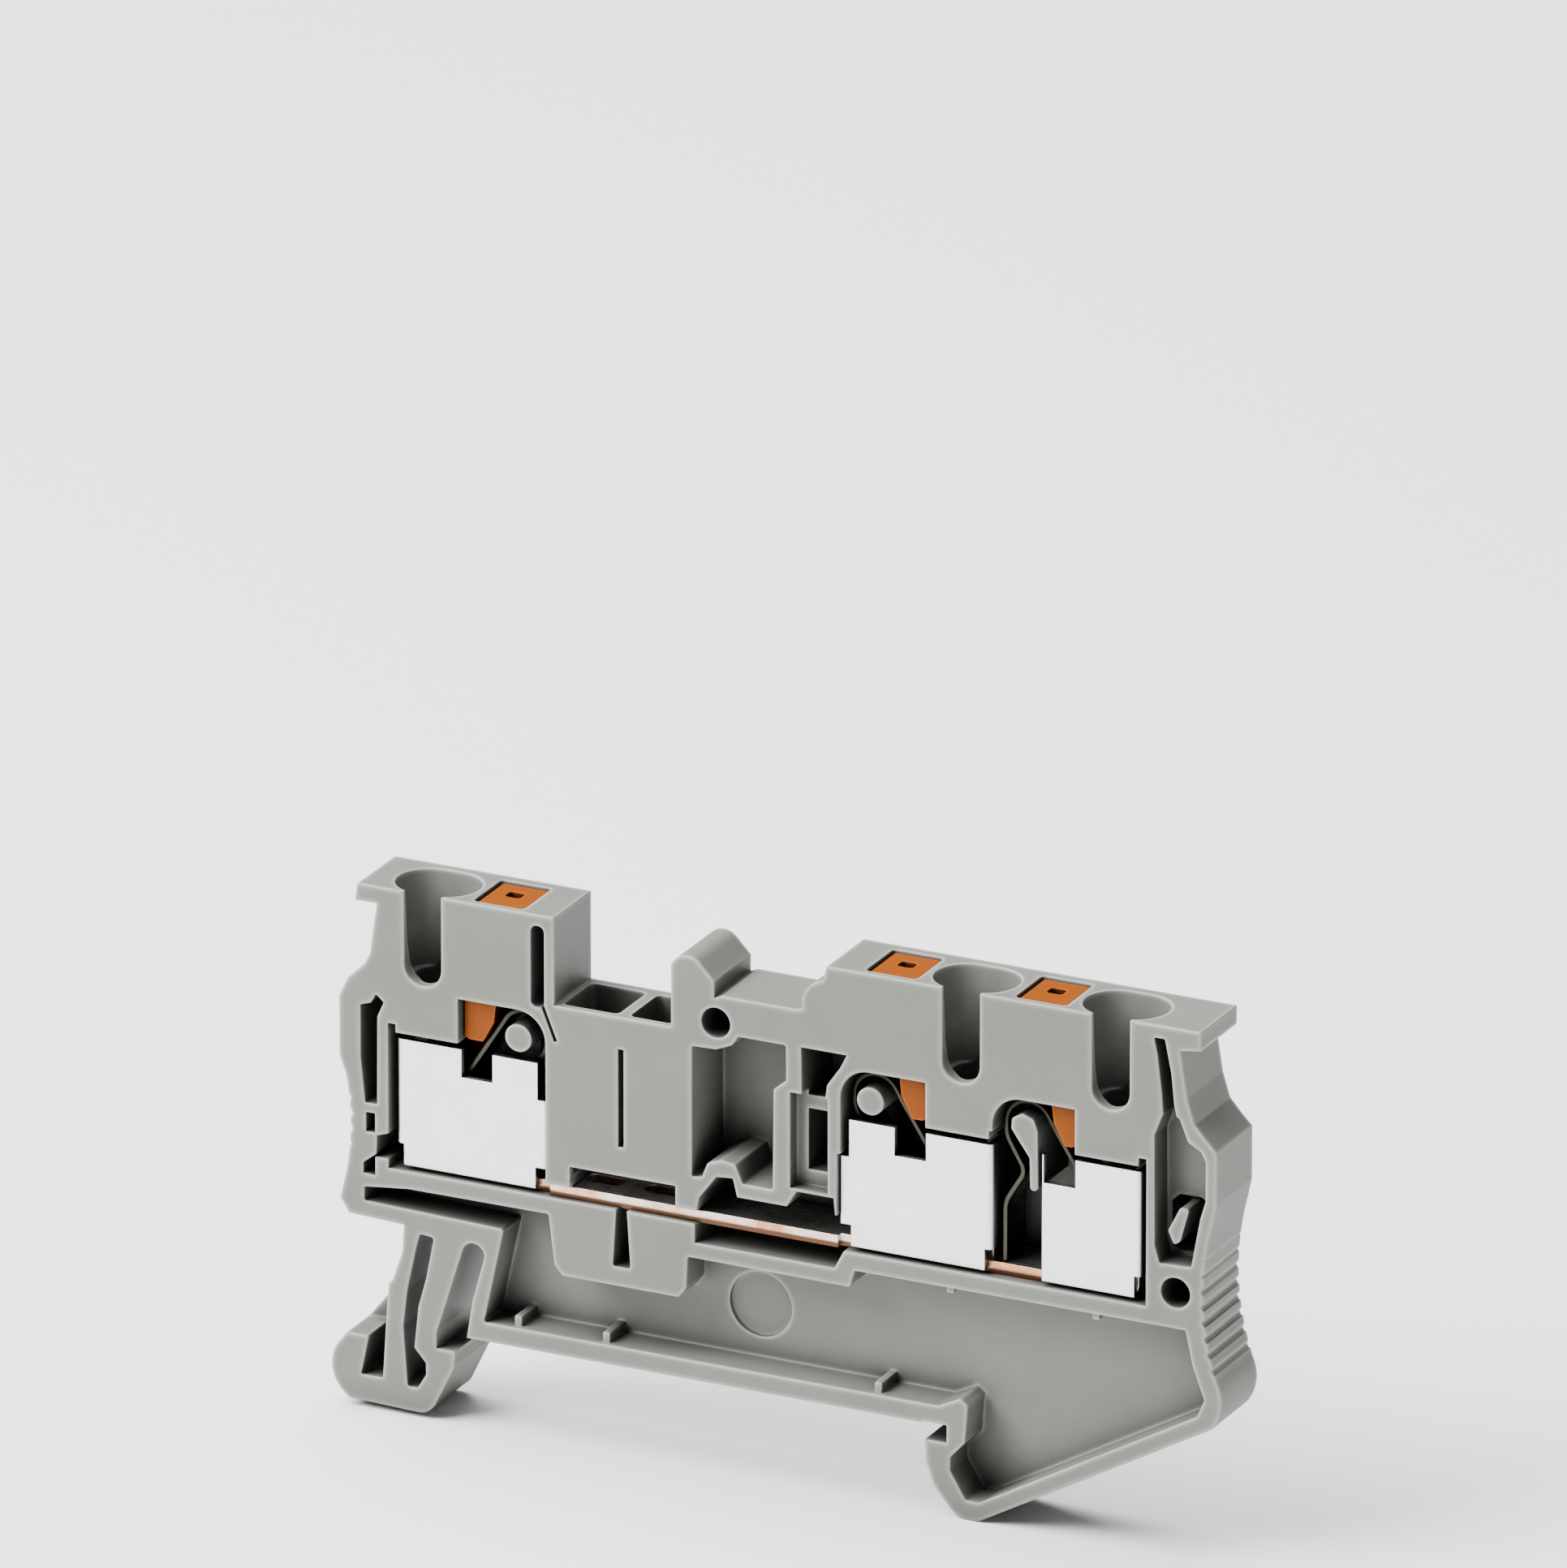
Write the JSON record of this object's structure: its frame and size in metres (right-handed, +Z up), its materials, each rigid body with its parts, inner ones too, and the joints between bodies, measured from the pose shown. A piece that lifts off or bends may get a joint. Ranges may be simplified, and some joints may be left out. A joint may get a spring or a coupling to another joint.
{
  "type": "terminal_block",
  "caption": "Grey feed-through terminal block for a 35 mm rail, three push-in entries with orange push buttons, open side showing clamp cages, springs and current bar.",
  "frame": {"origin": "centre of the seat that rests on the rail, midway between the rail's edges and midway through the thickness", "axes": "+X along the block towards the side with two entries, +Y from the open side to the closed side, +Z up from the rail"},
  "size_m": [0.0611, 0.0064, 0.035],
  "materials": {
    "housing_plastic": "matte_moulded",
    "button_plastic": "satin_moulded",
    "bar_copper": "tin_plated_cut_edge",
    "cage_steel": "plated_sheet",
    "spring_steel": "bright_strip"
  },
  "bodies": {
    "housing": {"housing": "housing_plastic", "current_bar": "bar_copper", "left_clamp_cage": "cage_steel", "left_clamp_spring": "spring_steel", "middle_clamp_cage": "cage_steel", "middle_clamp_spring": "spring_steel", "right_clamp_cage": "cage_steel", "right_clamp_spring": "spring_steel"},
    "left_button": {"left_push_button": "button_plastic"},
    "middle_button": {"middle_push_button": "button_plastic"},
    "right_button": {"right_push_button": "button_plastic"}
  },
  "joints": [
    {"name": "left_button_press", "type": "slide", "parent": "housing", "child": "left_button", "axis": [0, 0, -1], "range_m": [0, 0.0016], "stiffness_N_per_m": 400, "deforming": ["left_clamp_spring"]},
    {"name": "middle_button_press", "type": "slide", "parent": "housing", "child": "middle_button", "axis": [0, 0, -1], "range_m": [0, 0.0016], "stiffness_N_per_m": 400, "deforming": ["middle_clamp_spring"]},
    {"name": "right_button_press", "type": "slide", "parent": "housing", "child": "right_button", "axis": [0, 0, -1], "range_m": [0, 0.0016], "stiffness_N_per_m": 400, "deforming": ["right_clamp_spring"]}
  ]
}
